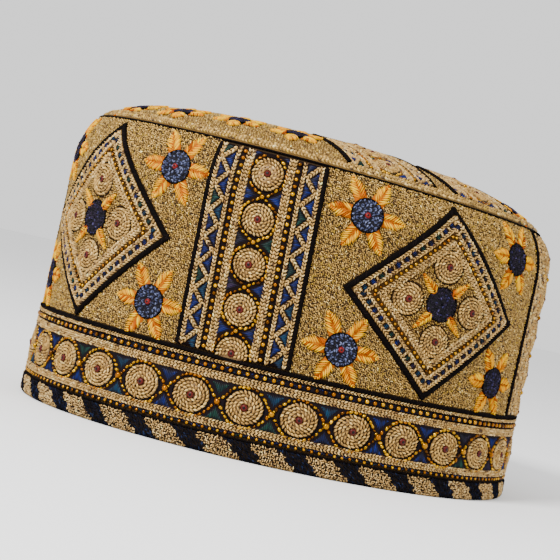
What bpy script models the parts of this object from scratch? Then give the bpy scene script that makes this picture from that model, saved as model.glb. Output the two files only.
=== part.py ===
"""An embroidered oval cap: an upright side wall under a softly domed crown, with a raised border band,
a striped binding folded round the lower edge, black cords over the joins, and raised embroidered motifs.
Metres, +Z up, +X along the oval, the front toward -Y. The cap stands on its lower edge at Z = 0."""

import bmesh
import bpy
import numpy as np

# The oval and the heights
HALF_LENGTH = 0.097  # of the side wall's outside, along X
HALF_WIDTH = 0.083  # of the same oval, along Y
SEAM_HEIGHT = 0.1079  # from the floor to the seam between wall and crown, at the middle
SHOULDER = 0.0061  # how far the wall draws in at the seam
CROWN_RISE = 0.013  # of the crown's top above the seam
LEAN = 0.04  # heights are this share greater at -X and less at +X

# The cloths and cords
WALL_THICKNESS = 0.002
CROWN_THICKNESS = 0.0018
BINDING_THICKNESS = 0.001
BINDING_HEIGHT = 0.0059
BINDING_TURN = 0.0012  # width of the bevelled corners of the folded lower edge
BAND_THICKNESS = 0.001
BAND_HEIGHT = 0.0238
BORDER_CORD_RADIUS = 0.0009
SEAM_CORD_RADIUS = 0.0007
CLEARANCE = 0.0003
SEAM_GAP = 0.0005  # between the wall's top edge and the crown's, under the seam cord

# The raised embroidery
REPEATS = 4  # of panel, flowers and diamond round the wall
PATTERN_START = -0.0171  # from the front to the middle of the first panel, along the wall
SLANT = 0.025  # of the embroidery off upright, toward +X at the bottom
MOTIF_THICKNESS = 0.0006
MOTIF_LIFT = 0.0006  # of a motif's back off the wall, which is flat between its rows
FIELD_MARGIN = 0.0004  # between a motif and the cord or seam that it nears
PANEL_WIDTH = 0.0425
DIAMOND_HALF_WIDTH = 0.0383
FLOWER_RADIUS = 0.0132
FLOWER_OFFSET = 0.0363  # from a panel's middle to a flower's, along the wall
FLOWER_DROP = 0.0004  # of the upper flowers' tips below the field's top
PETALS = 6
PETAL_VALLEY = 0.56  # of the flower's radius, where two petals meet
ROUNDELS = 29
ROUNDEL_START = -0.01025
ROUNDEL_RADIUS = 0.0067
ROUNDEL_HEIGHT = 0.0177  # from the floor to the roundels' middles
ROUNDEL_RAISE = 0.0006

# The smoothness of the solids
COLUMNS = 60
ROUNDEL_SIDES = 10
STAR_RINGS = (1, 0.45, 0)  # shares of the radius from outline to middle
PANEL_COLUMNS = 5
DIAMOND_CELLS = 6
SHARP_EDGE = np.radians(35)
SEAM_SLOPE = np.radians(45)  # of the cloths where they meet at the seam
MERGE = 0.000001

# The wall's outside from bottom to top: share of the seam's height, share of the shoulder
WALL_PROFILE = (
    (0.00, -0.05),
    (0.32, 0.07),
    (0.82, 0.00),
    (0.89, 0.15),
    (0.945, 0.42),
    (0.985, 0.76),
    (1.00, 1.00),
)

# The crown's outside from edge to middle: share of its reach, share of its rise
CROWN_PROFILE = (
    (1.00, 0.00),
    (0.97, 0.18),
    (0.90, 0.38),
    (0.78, 0.65),
    (0.60, 0.88),
    (0.35, 0.985),
    (0.00, 1.00),
)

LOW_CORD_HEIGHT = BINDING_HEIGHT + CLEARANCE + BORDER_CORD_RADIUS
BAND_BOTTOM = LOW_CORD_HEIGHT + BORDER_CORD_RADIUS + CLEARANCE
BAND_TOP = BAND_BOTTOM + BAND_HEIGHT
TOP_CORD_HEIGHT = BAND_TOP + CLEARANCE + BORDER_CORD_RADIUS
FIELD_BOTTOM = TOP_CORD_HEIGHT + BORDER_CORD_RADIUS + FIELD_MARGIN
FIELD_TOP = SEAM_HEIGHT - 2 * SEAM_CORD_RADIUS - FIELD_MARGIN

TURNS = np.linspace(-np.pi, np.pi, 4001)
STEPS = np.hypot(HALF_LENGTH * np.cos(TURNS), HALF_WIDTH * np.sin(TURNS))
LENGTHS = np.concatenate([[0], np.cumsum((STEPS[1:] + STEPS[:-1]) / 2 * np.diff(TURNS))])
PERIMETER = LENGTHS[-1]


def clear_scene():
    for obj in list(bpy.data.objects):
        bpy.data.objects.remove(obj, do_unlink=True)


def collection(name, helper=False):
    made = bpy.data.collections.new(name)
    bpy.context.scene.collection.children.link(made)
    made.hide_render = helper
    return made


def material(name, colour, roughness, metallic=0.0):
    made = bpy.data.materials.new(name)
    made.use_nodes = True
    shader = made.node_tree.nodes["Principled BSDF"]
    shader.inputs["Base Color"].default_value = (*colour, 1)
    shader.inputs["Roughness"].default_value = roughness
    shader.inputs["Metallic"].default_value = metallic
    return made


def on_oval(along, out):
    """The plan point this far along the oval from the front, toward +X, and this far outside it."""
    length = (along + PERIMETER / 2) % PERIMETER
    turn = np.interp(length, LENGTHS, TURNS)
    across = np.array([HALF_WIDTH * np.sin(turn), -HALF_LENGTH * np.cos(turn)])
    across /= np.hypot(*across)
    return np.array([HALF_LENGTH * np.sin(turn), -HALF_WIDTH * np.cos(turn)]) + out * across


def leant(x, y, height):
    """The point at this height, where the cap stands taller toward -X than toward +X."""
    return (x, y, height * (1 - LEAN * x / HALF_LENGTH))


def drawn_in(height):
    shares, insets = zip(*WALL_PROFILE)
    return SHOULDER * np.interp(height / SEAM_HEIGHT, shares, insets)


def on_wall(along, height, lift=0.0):
    x, y = on_oval(along, lift - drawn_in(height))
    return leant(x, y, height)


def on_slant(along, height, lift):
    """The same, for embroidery that leans a little off upright."""
    return on_wall(along + SLANT * (SEAM_HEIGHT - height), height, lift)


def profile_heights(low, high):
    """The heights between these two where the wall's profile turns, with both ends."""
    turns = [share * SEAM_HEIGHT for share, _ in WALL_PROFILE]
    return [low] + [turn for turn in turns if low + MERGE < turn < high - MERGE] + [high]


def sheet(name, columns, rows, place, thickness, outward=False):
    """A sheet of cloth: a grid whose corners go where place(column, row) says, made solid."""
    bm = bmesh.new()
    bmesh.ops.create_grid(bm, x_segments=columns, y_segments=rows, size=0.5)
    for vert in bm.verts:
        column = round((vert.co.x + 0.5) * columns)
        row = round((vert.co.y + 0.5) * rows)
        vert.co = place(column, row)
    bmesh.ops.remove_doubles(bm, verts=bm.verts, dist=MERGE)
    mesh = bpy.data.meshes.new(name)
    bm.to_mesh(mesh)
    bm.free()
    mesh.shade_smooth()
    obj = bpy.data.objects.new(name, mesh)
    solid = obj.modifiers.new("Thickness", "SOLIDIFY")
    solid.thickness = thickness
    solid.offset = 1 if outward else -1
    solid.use_even_offset = True
    return obj


def finish(obj, group, look):
    obj.data.materials.append(look)
    group.objects.link(obj)
    if obj.type == "MESH":
        obj.data.set_sharp_from_angle(angle=SHARP_EDGE)
    return obj


def cord(name, height, out, radius):
    """A cord laid round the wall, its middle this far outside the wall's face."""
    curve = bpy.data.curves.new(name, "CURVE")
    curve.dimensions = "3D"
    curve.bevel_depth = radius
    curve.bevel_resolution = 1
    spline = curve.splines.new("POLY")
    spline.points.add(COLUMNS - 1)
    for column, point in enumerate(spline.points):
        along = (column / COLUMNS - 0.5) * PERIMETER
        point.co = (*on_wall(along, height, out), 1)
    spline.use_cyclic_u = True
    return bpy.data.objects.new(name, curve)


def side_wall():
    lower_edge = BINDING_THICKNESS + CLEARANCE + BINDING_TURN / 2
    heights = profile_heights(lower_edge, SEAM_HEIGHT)

    def place(column, row):
        return on_wall((column / COLUMNS - 0.5) * PERIMETER, heights[row])

    return sheet("side_wall", COLUMNS, len(heights) - 1, place, WALL_THICKNESS)


def crown():
    edge_out = -SHOULDER - SEAM_GAP * np.cos(SEAM_SLOPE)
    edge_height = SEAM_HEIGHT + SEAM_GAP * np.sin(SEAM_SLOPE)

    def place(column, row):
        reach, rise = CROWN_PROFILE[row]
        x, y = reach * on_oval((column / COLUMNS - 0.5) * PERIMETER, edge_out)
        return leant(x, y, edge_height + CROWN_RISE * rise)

    return sheet("crown", COLUMNS, len(CROWN_PROFILE) - 1, place, CROWN_THICKNESS)


def hem_binding():
    """The tape folded round the wall's lower edge: inner leaf, fold and outer leaf, drawn on its outside."""
    outside = CLEARANCE + BINDING_THICKNESS
    inside = -WALL_THICKNESS - outside
    section = (
        (outside, BINDING_HEIGHT),
        (outside, BINDING_TURN),
        (outside - BINDING_TURN, 0),
        (inside + BINDING_TURN, 0),
        (inside, BINDING_TURN),
        (inside, BINDING_HEIGHT),
    )

    def place(column, row):
        lift, height = section[len(section) - 1 - row]
        x, y = on_oval((column / COLUMNS - 0.5) * PERIMETER, lift - drawn_in(height))
        return leant(x, y, height)

    return sheet("hem_binding", COLUMNS, len(section) - 1, place, BINDING_THICKNESS)


def border_band(helpers):
    """The band that is laid on the wall, with its roundels raised."""
    heights = profile_heights(BAND_BOTTOM, BAND_TOP)

    def place(column, row):
        return on_wall((column / COLUMNS - 0.5) * PERIMETER, heights[row], CLEARANCE)

    band = sheet("border_band", COLUMNS, len(heights) - 1, place, BAND_THICKNESS, outward=True)
    for index in range(ROUNDELS):
        middle = ROUNDEL_START + index * PERIMETER / ROUNDELS
        lift = CLEARANCE + BAND_THICKNESS / 2
        thickness = BAND_THICKNESS / 2 + ROUNDEL_RAISE
        outline = [ROUNDEL_RADIUS] * ROUNDEL_SIDES
        roundel = star(f"roundel_{index + 1}", middle, ROUNDEL_HEIGHT, outline, lift, thickness)
        roundel.hide_render = True
        roundel.display_type = "WIRE"
        helpers.objects.link(roundel)
    union = band.modifiers.new("Roundels", "BOOLEAN")
    union.operation = "UNION"
    union.operand_type = "COLLECTION"
    union.collection = helpers
    return band


def star(name, along, height, outline, lift, thickness):
    """A flat shape sewn on the wall, with an outline given by its radii at equal turns."""
    sides = len(outline)

    def place(column, row):
        turn = 2 * np.pi * column / sides
        radius = outline[column % sides] * STAR_RINGS[row]
        return on_slant(along + radius * np.cos(turn), height + radius * np.sin(turn), lift)

    return sheet(name, sides, len(STAR_RINGS) - 1, place, thickness, outward=True)


def flower(name, along, height):
    outline = [FLOWER_RADIUS, PETAL_VALLEY * FLOWER_RADIUS] * PETALS
    return star(name, along, height, outline, MOTIF_LIFT, MOTIF_THICKNESS)


def panel(name, along):
    heights = profile_heights(FIELD_BOTTOM, FIELD_TOP)

    def place(column, row):
        across = (column / PANEL_COLUMNS - 0.5) * PANEL_WIDTH
        return on_slant(along + across, heights[row], MOTIF_LIFT)

    return sheet(name, PANEL_COLUMNS, len(heights) - 1, place, MOTIF_THICKNESS, outward=True)


def diamond(name, along):
    middle = (FIELD_BOTTOM + FIELD_TOP) / 2
    half_height = (FIELD_TOP - FIELD_BOTTOM) / 2

    def place(column, row):
        rising, falling = column / DIAMOND_CELLS - 0.5, row / DIAMOND_CELLS - 0.5
        across = (rising - falling) * DIAMOND_HALF_WIDTH
        up = (rising + falling) * half_height
        return on_slant(along + across, middle + up, MOTIF_LIFT)

    return sheet(name, DIAMOND_CELLS, DIAMOND_CELLS, place, MOTIF_THICKNESS, outward=True)


def main():
    clear_scene()
    cap = collection("embroidered_cap")
    helpers = collection("roundel_helpers", helper=True)

    ground = material("gold_ground", (0.40, 0.27, 0.12), 0.5, 0.35)
    crown_ground = material("crown_ground", (0.40, 0.27, 0.12), 0.5, 0.35)
    band_ground = material("band_ground", (0.33, 0.22, 0.09), 0.55, 0.2)
    stripes = material("striped_tape", (0.20, 0.15, 0.08), 0.6)
    black = material("black_cord", (0.010, 0.008, 0.008), 0.6)
    panel_thread = material("panel_thread", (0.30, 0.22, 0.12), 0.55, 0.15)
    diamond_thread = material("diamond_thread", (0.26, 0.20, 0.12), 0.55, 0.15)
    petal_thread = material("petal_thread", (0.80, 0.38, 0.03), 0.45)

    finish(side_wall(), cap, ground)
    finish(crown(), cap, crown_ground)
    finish(hem_binding(), cap, stripes)
    finish(border_band(helpers), cap, band_ground)

    on_the_wall = CLEARANCE + BORDER_CORD_RADIUS
    finish(cord("border_cord_low", LOW_CORD_HEIGHT, on_the_wall, BORDER_CORD_RADIUS), cap, black)
    finish(cord("border_cord_top", TOP_CORD_HEIGHT, on_the_wall, BORDER_CORD_RADIUS), cap, black)
    on_the_seam = (CLEARANCE + SEAM_CORD_RADIUS) / np.sin(SEAM_SLOPE)
    finish(cord("seam_cord", SEAM_HEIGHT, on_the_seam, SEAM_CORD_RADIUS), cap, black)

    repeat = PERIMETER / REPEATS
    reach = FLOWER_RADIUS * max(np.sin(2 * np.pi * petal / PETALS) for petal in range(PETALS))
    low, high = FIELD_BOTTOM + reach, FIELD_TOP - FLOWER_DROP - reach
    for index in range(REPEATS):
        middle = PATTERN_START + index * repeat
        finish(panel(f"panel_{index + 1}", middle), cap, panel_thread)
        finish(diamond(f"diamond_{index + 1}", middle + repeat / 2), cap, diamond_thread)
        for side, offset in (("left", -FLOWER_OFFSET), ("right", FLOWER_OFFSET)):
            for level, height in (("low", low), ("high", high)):
                name = f"flower_{index + 1}_{side}_{level}"
                finish(flower(name, middle + offset, height), cap, petal_thread)


main()
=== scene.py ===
import math

import bpy
import numpy as np
from mathutils import Matrix, Vector


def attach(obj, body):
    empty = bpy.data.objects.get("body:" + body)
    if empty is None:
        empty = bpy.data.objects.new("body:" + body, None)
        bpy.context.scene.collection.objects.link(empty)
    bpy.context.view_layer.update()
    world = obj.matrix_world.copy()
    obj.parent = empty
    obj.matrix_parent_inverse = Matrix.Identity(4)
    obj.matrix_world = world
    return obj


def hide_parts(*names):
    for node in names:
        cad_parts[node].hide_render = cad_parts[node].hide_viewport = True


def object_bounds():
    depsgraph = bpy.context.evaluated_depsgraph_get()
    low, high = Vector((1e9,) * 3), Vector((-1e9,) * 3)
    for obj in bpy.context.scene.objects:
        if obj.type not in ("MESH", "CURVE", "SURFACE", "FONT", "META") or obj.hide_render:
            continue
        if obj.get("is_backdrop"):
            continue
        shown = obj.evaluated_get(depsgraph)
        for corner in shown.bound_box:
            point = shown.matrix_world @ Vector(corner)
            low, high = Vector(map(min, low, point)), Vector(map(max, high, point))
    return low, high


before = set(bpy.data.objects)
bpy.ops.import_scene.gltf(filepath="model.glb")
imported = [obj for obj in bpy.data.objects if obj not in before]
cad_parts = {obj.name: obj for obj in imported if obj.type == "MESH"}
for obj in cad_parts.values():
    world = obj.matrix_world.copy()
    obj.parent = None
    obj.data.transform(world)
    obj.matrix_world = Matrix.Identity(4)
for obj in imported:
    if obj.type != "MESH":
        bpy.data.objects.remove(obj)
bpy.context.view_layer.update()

# The side wall is one upright band of strong cotton cloth, sewn into an oval and drawn in at its top.
# Embroidery hides its outside almost wholly, and the cloth there is coloured darker, as painted shade in
# the gaps between stitches; its inside is bare plain-woven cloth.
# Up to the floor's section, sizes are in millimetres and colours are plain 0 to 255 ones.
HALF_LENGTH, HALF_WIDTH = 97.0, 83.0
SEAM_HEIGHT = 107.9
SHOULDER = 6.1  # how far the wall draws in at the seam
SHOULDER_START, SHOULDER_CURVE = 86.3, 2.7
BOW_HEIGHTS, BOW_INSETS = (0, 34.5, 88.5), (-0.3, 0.43, 0.0)  # of the wall below the shoulder
LEAN = 0.04  # heights are this share greater at -X and less at +X
WALL_THICKNESS = 2.0
WALL_BOTTOM, WALL_TOP = 1.9, SEAM_HEIGHT + 0.4
OUTSIDE_ROWS, INSIDE_ROWS, COLUMNS = 20, 14, 240
WEAVE = (1100, 220)  # threads along and up the wall
CLOTH_LIGHT, CLOTH_DARK = (150, 122, 78), (88, 66, 38)
# the outside's cloth, coloured darker than the bare cloth as painted shade between the stitches
PAINTED_SHADE_BACKING_LIGHT, PAINTED_SHADE_BACKING_DARK = (66, 46, 18), (40, 27, 10)
WEAVE_DEPTH = 0.0002  # metres
CELL_MARGIN = 0.1  # of each small thing's square in the layout
METRES = 0.001
UPRIGHT = np.array([0.0, 0.0, 1.0])

turns = np.linspace(-np.pi, np.pi, 4001)
steps = np.hypot(HALF_LENGTH * np.cos(turns), HALF_WIDTH * np.sin(turns))
lengths = np.concatenate([[0], np.cumsum((steps[1:] + steps[:-1]) / 2 * np.diff(turns))])
PERIMETER = lengths[-1]


def unit(ways):
    return ways / np.linalg.norm(ways, axis=-1, keepdims=True)


def leant(spots):
    spots[..., 2] *= 1 - LEAN * spots[..., 0] / HALF_LENGTH
    return spots


def wall(along, height):
    """Spots of the wall's face this far round from the front and this high, with the ways along it,
    up it and out of it."""
    along, height = np.broadcast_arrays(along, height)
    turn = np.interp((along + PERIMETER / 2) % PERIMETER, lengths, turns)
    sin, cos = np.sin(turn), np.cos(turn)
    flat = np.zeros_like(turn)
    ahead = unit(np.stack([HALF_LENGTH * cos, HALF_WIDTH * sin, flat], -1))
    side = np.stack([ahead[..., 1], -ahead[..., 0], flat], -1)
    share = np.clip((height - SHOULDER_START) / (SEAM_HEIGHT - SHOULDER_START), 0, None)
    inset = np.interp(height, BOW_HEIGHTS, BOW_INSETS) + SHOULDER * share**SHOULDER_CURVE
    slope = SHOULDER * SHOULDER_CURVE / (SEAM_HEIGHT - SHOULDER_START) * share ** (SHOULDER_CURVE - 1)
    spots = np.stack([HALF_LENGTH * sin, -HALF_WIDTH * cos, height], -1) - inset[..., None] * side
    up = unit(UPRIGHT - slope[..., None] * side)
    out = unit(side + slope[..., None] * UPRIGHT)
    return leant(spots), ahead, up, out


def dye(red, green, blue):
    """A 0 to 255 colour as the shaders take it."""
    share = np.array([red, green, blue]) / 255
    return np.where(share < 0.04045, share / 12.92, ((share + 0.055) / 1.055) ** 2.4)


def new_look(name):
    """A new material, with its nodes, its links and the inputs of its shader."""
    made = bpy.data.materials.new(name)
    made.use_nodes = True
    tree = made.node_tree
    return made, tree.nodes, tree.links, tree.nodes["Principled BSDF"].inputs


def relief(nodes, links, inputs, height, strength, depth):
    """Low relief that follows a node's output."""
    bump = nodes.new("ShaderNodeBump")
    bump.inputs["Strength"].default_value = strength
    bump.inputs["Distance"].default_value = depth
    links.new(height, bump.inputs["Height"])
    links.new(bump.outputs["Normal"], inputs["Normal"])


def woven(name, light, dark, weave, source):
    """Plain-woven cloth: threads one way over and under threads the other way."""
    made, nodes, links, inputs = new_look(name)
    inputs["Roughness"].default_value = 0.85
    inputs["Specular IOR Level"].default_value = 0.15
    layout = nodes.new("ShaderNodeTexCoord")
    waves = []
    for axis, threads in zip("XY", weave):
        wave = nodes.new("ShaderNodeTexWave")
        wave.bands_direction = axis
        wave.inputs["Scale"].default_value = threads * math.pi / 10
        wave.inputs["Distortion"].default_value = 0.6
        links.new(layout.outputs[source], wave.inputs["Vector"])
        waves.append(wave)
    both = nodes.new("ShaderNodeMath")
    both.operation = "MULTIPLY"
    links.new(waves[0].outputs["Fac"], both.inputs[0])
    links.new(waves[1].outputs["Fac"], both.inputs[1])
    colours = nodes.new("ShaderNodeMix")
    colours.data_type = "RGBA"
    colours.inputs["A"].default_value = (*dye(*dark), 1)
    colours.inputs["B"].default_value = (*dye(*light), 1)
    links.new(both.outputs["Value"], colours.inputs["Factor"])
    links.new(colours.outputs["Result"], inputs["Base Color"])
    relief(nodes, links, inputs, both.outputs["Value"], 0.5, WEAVE_DEPTH)
    return made


def sew(name, heap, slot, *stands_for):
    """One mesh of a heap of small things, each with its own colour and its own square of the layout."""
    count = sum(len(points) for points, *_ in heap)
    side = math.ceil(math.sqrt(count))
    looks = list(dict.fromkeys(entry[-1] for entry in heap))
    spots, corners, colours, layout, picked = [], [], [], [], []
    first = cell = 0
    for points, faces, flat, dyes, look in heap:
        many, size = points.shape[:2]
        spots.append(points.reshape(-1, 3))
        corners.append((first + size * np.arange(many)[:, None, None] + faces).reshape(-1, 3))
        colours.append(np.broadcast_to(dyes.reshape(many, -1, 3), (many, size, 3)).reshape(-1, 3))
        cells = cell + np.arange(many)
        square = np.stack([cells % side, cells // side], -1)
        layout.append(((square[:, None] + CELL_MARGIN + (1 - 2 * CELL_MARGIN) * flat) / side).reshape(-1, 2))
        picked.append(np.full(many * len(faces), looks.index(look)))
        first += many * size
        cell += many
    spots, corners, colours, layout, picked = map(np.concatenate, (spots, corners, colours, layout, picked))
    mesh = bpy.data.meshes.new(name)
    mesh.vertices.add(len(spots))
    mesh.vertices.foreach_set("co", (spots * METRES).ravel())
    mesh.loops.add(corners.size)
    mesh.loops.foreach_set("vertex_index", corners.ravel())
    mesh.polygons.add(len(corners))
    mesh.polygons.foreach_set("loop_start", np.arange(len(corners)) * 3)
    mesh.polygons.foreach_set("material_index", picked)
    mesh.update(calc_edges=True)
    mesh.shade_smooth()
    dyed = mesh.color_attributes.new("Thread", "FLOAT_COLOR", "POINT")
    dyed.data.foreach_set("color", np.c_[colours, np.ones(len(colours))].ravel())
    mesh.uv_layers.new(name="OFBake").data.foreach_set("uv", layout[corners.ravel()].ravel())
    for look in looks:
        mesh.materials.append(look)
    piece = bpy.data.objects.new(name, mesh)
    bpy.context.scene.collection.objects.link(piece)
    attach(piece, "root")
    if stands_for:
        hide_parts(*stands_for)


def quads(rows, columns):
    """Two triangles for each cell of a grid of this many rows and columns of cells."""
    row, column = np.divmod(np.arange(rows * columns), columns)
    corner = row * (columns + 1) + column
    return np.concatenate([
        np.stack([corner, corner + 1, corner + columns + 2], -1),
        np.stack([corner, corner + columns + 2, corner + columns + 1], -1),
    ])


def grid(spots, colour, look):
    """A heap entry of one surface, whose spots come as rows and columns."""
    rows, columns = spots.shape[0] - 1, spots.shape[1] - 1
    down, across = np.mgrid[0:rows + 1, 0:columns + 1]
    flat = np.stack([across / columns, down / rows], -1).reshape(-1, 2)
    return spots.reshape(1, -1, 3), quads(rows, columns), flat, np.array([colour]), look


def swept(section, colour, look):
    """A section of (lift off the wall's face, height) carried all the way round the cap."""
    lifts, heights = np.array(section, float).T
    around = np.linspace(-PERIMETER / 2, PERIMETER / 2, COLUMNS + 1)
    spots, _, _, out = wall(around[None], heights[:, None])
    return grid(spots + lifts[:, None, None] * out, colour, look)


# painted shade: the outside is coloured much darker than the bare cloth, for the gaps between stitches
BARE_BROWN, PAINTED_SHADE_BACKING_BROWN = dye(120, 95, 58), dye(48, 33, 15)
cotton = woven("bare_cotton", CLOTH_LIGHT, CLOTH_DARK, WEAVE, "UV")
backing = woven("backing_cotton_painted_shade", PAINTED_SHADE_BACKING_LIGHT, PAINTED_SHADE_BACKING_DARK, WEAVE, "UV")
outside = [(0.0, height) for height in np.linspace(WALL_BOTTOM, WALL_TOP, OUTSIDE_ROWS)]
inside = [(-WALL_THICKNESS, height) for height in np.linspace(WALL_TOP, WALL_BOTTOM, INSIDE_ROWS)]
sew("wall_cloth", [
    swept(outside + inside[:1], PAINTED_SHADE_BACKING_BROWN, backing),
    swept(inside + outside[:1], BARE_BROWN, cotton),
], "gold_ground", "side_wall")


# The ground of the wall is covered with short gold-tan metallic threads, sewn closely in many
# directions, so that little of the cloth under them is left to see. It stops where the panels, the
# diamonds and the flowers lie.
REPEATS = 4
REPEAT = PERIMETER / REPEATS
PATTERN_START = -17.1  # from the front to the middle of the first panel, round the wall
SLANT = 0.025  # of the embroidery off upright, toward +X at the bottom
FIELD_BOTTOM, FIELD_TOP = 34.6, 107.6
PANEL_HALF_WIDTH = 21.2
PANEL_SHIFTS = (-1.3, 2.6, 0.0, 0.0)  # each panel's own, as sewn by hand
PANEL_MIDDLES = [PATTERN_START + index * REPEAT + shift for index, shift in enumerate(PANEL_SHIFTS)]
DIAMOND_HALF_WIDTH, DIAMOND_HALF_HEIGHT, DIAMOND_MIDDLE = 38.4, 36.1, 70.35
CORNER_DROPS = (2.4, 1.0)  # how much lower a diamond's left and right corners hang than its middle
FLOWER_OFFSET, FLOWER_HEIGHTS = 36.3, (46.0, 94.3)
FLOWER_RADIUS, DISC_RADIUS = 14.4, 6.2
PETALS = 6
PETAL_SHARES, PETAL_HALVES = (0.0, 0.25, 0.6, 1.0), (2.8, 2.9, 1.75, 0.1)
FLOWER_OVERLAP = 0.3  # how far the ground runs in under a flower
GROUND_PITCH, JITTER = 0.7, 0.36  # the latter as a share of the pitch
GROUND_TURN, GROUND_SPREAD, TURNED_SHARE = -0.9, 0.4, 0.6  # the way most of the threads lie
GROUND_LONG, GROUND_WIDE, GROUND_HIGH = (1.0, 1.6), (0.46, 0.6), (0.3, 0.6)
GOLD_GROUND = [
    (0.38, 158, 123, 58), (0.26, 132, 100, 42), (0.2, 182, 147, 78),
    (0.06, 76, 52, 20), (0.06, 166, 132, 34), (0.04, 208, 178, 114),
]
FOOT_PAINTED_SHADE, DARKEST_PAINTED_SHADE = 0.35, 0.15  # painted shade: share of its colour kept at a thread's foot, where it lies in the cloth, and the least share kept anywhere; the top keeps one more, a painted highlight
FIBRES = 2600  # fineness of the threads' fibres
FIBRE_DEPTH = 0.0001  # metres
ROUGH_SPREAD = 0.15

# A short thread seen from above: pointed ends, widest and highest in its middle part
THREAD = (
    np.array([(-0.5, 0, 0), (0, -0.5, 0), (0, 0.5, 0), (0.5, 0, 0), (-0.22, 0, 1), (0.22, 0, 1)]),
    np.array([(0, 1, 4), (1, 5, 4), (1, 3, 5), (0, 4, 2), (4, 5, 2), (5, 3, 2)]),
)

rng = np.random.default_rng(11)


def shades(dyes, count, spread=0.18):
    """A colour for each of this many threads, drawn from rows of a share and its dye, some lighter and
    some darker."""
    shares, *colours = np.array(dyes, float).T
    drawn = dye(*colours).T[rng.choice(len(dyes), count, p=shares / shares.sum())]
    return np.clip(drawn * np.exp(rng.normal(0, spread, (count, 1))), 0, 1)


def thread(name, roughness, metallic=0.0, fuzz=0.25, shine=0.3):
    """Thread that shows each stitch's own dye, with fine fibres that catch the light unevenly."""
    made, nodes, links, inputs = new_look(name)
    inputs["Metallic"].default_value = metallic
    inputs["Specular IOR Level"].default_value = shine
    dyed = nodes.new("ShaderNodeVertexColor")
    dyed.layer_name = "Thread"
    place = nodes.new("ShaderNodeTexCoord")
    fibres = nodes.new("ShaderNodeTexNoise")
    fibres.inputs["Scale"].default_value = FIBRES
    fibres.inputs["Detail"].default_value = 2
    links.new(place.outputs["Object"], fibres.inputs["Vector"])
    worn = nodes.new("ShaderNodeMix")
    worn.data_type = "RGBA"
    worn.blend_type = "MULTIPLY"
    worn.inputs["Factor"].default_value = fuzz
    links.new(dyed.outputs["Color"], worn.inputs["A"])
    links.new(fibres.outputs["Fac"], worn.inputs["B"])
    links.new(worn.outputs["Result"], inputs["Base Color"])
    rough = nodes.new("ShaderNodeMapRange")
    rough.inputs["To Min"].default_value = max(roughness - ROUGH_SPREAD, 0.05)
    rough.inputs["To Max"].default_value = min(roughness + ROUGH_SPREAD, 1.0)
    links.new(fibres.outputs["Fac"], rough.inputs["Value"])
    links.new(rough.outputs["Result"], inputs["Roughness"])
    relief(nodes, links, inputs, fibres.outputs["Fac"], 0.3, FIBRE_DEPTH)
    return made


def laid(place, a, b, turn, long, wide, high, lift, dyes, look, shape=THREAD):
    """A heap entry of many small things of one shape laid on a face, each turned its own way, with
    painted shade at its foot and a painted highlight on its top.
    """
    spots, ahead, up, out = place(a, b)
    turn, long, wide, high, lift = (
        np.broadcast_to(value, a.shape)[:, None, None]
        for value in (turn, long, wide, high, lift)
    )
    cos, sin = np.cos(turn), np.sin(turn)
    ahead, up, out = ahead[:, None], up[:, None], out[:, None]
    way, across = cos * ahead + sin * up, cos * up - sin * ahead
    points, faces = shape
    x, y, z = (points[None, :, axis, None] for axis in range(3))
    made = spots[:, None] + x * long * way + y * wide * across + (lift + z * high) * out
    # painted shade toward each thing's foot and a painted highlight on its top
    shaded = dyes[:, None] * np.clip(FOOT_PAINTED_SHADE + points[:, 2], DARKEST_PAINTED_SHADE, None)[:, None]
    return made, faces, points[:, :2] + 0.5, np.clip(shaded, 0, 1), look


def slanted(along, height):
    """Spots of the wall's face for embroidery that leans a little off upright."""
    return wall(along + SLANT * (SEAM_HEIGHT - height), height)


def face_at(middle, height=0.0, hang=lambda across: 0.0):
    """A face of the wall with its own middle, which may hang lower out from it."""
    return lambda a, b: slanted(middle + a, height + b - hang(a))


def corner_drop(across):
    """How far a diamond is drawn down, this far across from its middle."""
    return np.abs(across) / DIAMOND_HALF_WIDTH * np.where(across < 0, *CORNER_DROPS)


def out_of_diamond(across, above):
    """How far out of a diamond's middle a spot is, as a share of the way to its edge."""
    return np.abs(across) / DIAMOND_HALF_WIDTH + np.abs(above) / DIAMOND_HALF_HEIGHT


def from_middle(along, middle, spacing=REPEAT):
    """How far round the wall each spot is from the nearest of evenly spaced middles."""
    return (along - middle + spacing / 2) % spacing - spacing / 2


def in_flower(a, b):
    """Whether spots given from a flower's middle lie under its disc or its petals."""
    reach, turn = np.hypot(a, b), np.arctan2(b, a)
    near = (turn + np.pi / PETALS) % (2 * np.pi / PETALS) - np.pi / PETALS
    out, off = reach * np.cos(near), np.abs(reach * np.sin(near))
    share = (out - DISC_RADIUS) / (FLOWER_RADIUS - DISC_RADIUS)
    half = np.interp(share, PETAL_SHARES, PETAL_HALVES)
    return (reach < DISC_RADIUS - FLOWER_OVERLAP) | ((share < 1) & (off < half - FLOWER_OVERLAP))


def scattered(low_a, high_a, low_b, high_b, pitch):
    """Spots of a square grid, each moved a little."""
    a, b = np.meshgrid(np.arange(low_a, high_a, pitch), np.arange(low_b, high_b, pitch))
    return (value.ravel() + rng.uniform(-JITTER, JITTER, value.size) * pitch for value in (a, b))


def ground(place, a, b, lift=0.0):
    """Short threads in many directions at these spots."""
    count = len(a)
    turn = np.where(
        rng.random(count) < TURNED_SHARE,
        rng.normal(GROUND_TURN, GROUND_SPREAD, count),
        rng.uniform(0, np.pi, count),
    )
    long, wide, high = (rng.uniform(*sizes, count) for sizes in (GROUND_LONG, GROUND_WIDE, GROUND_HIGH))
    return laid(place, a, b, turn, long, wide, high, lift, shades(GOLD_GROUND, count), metallic_thread)


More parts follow.
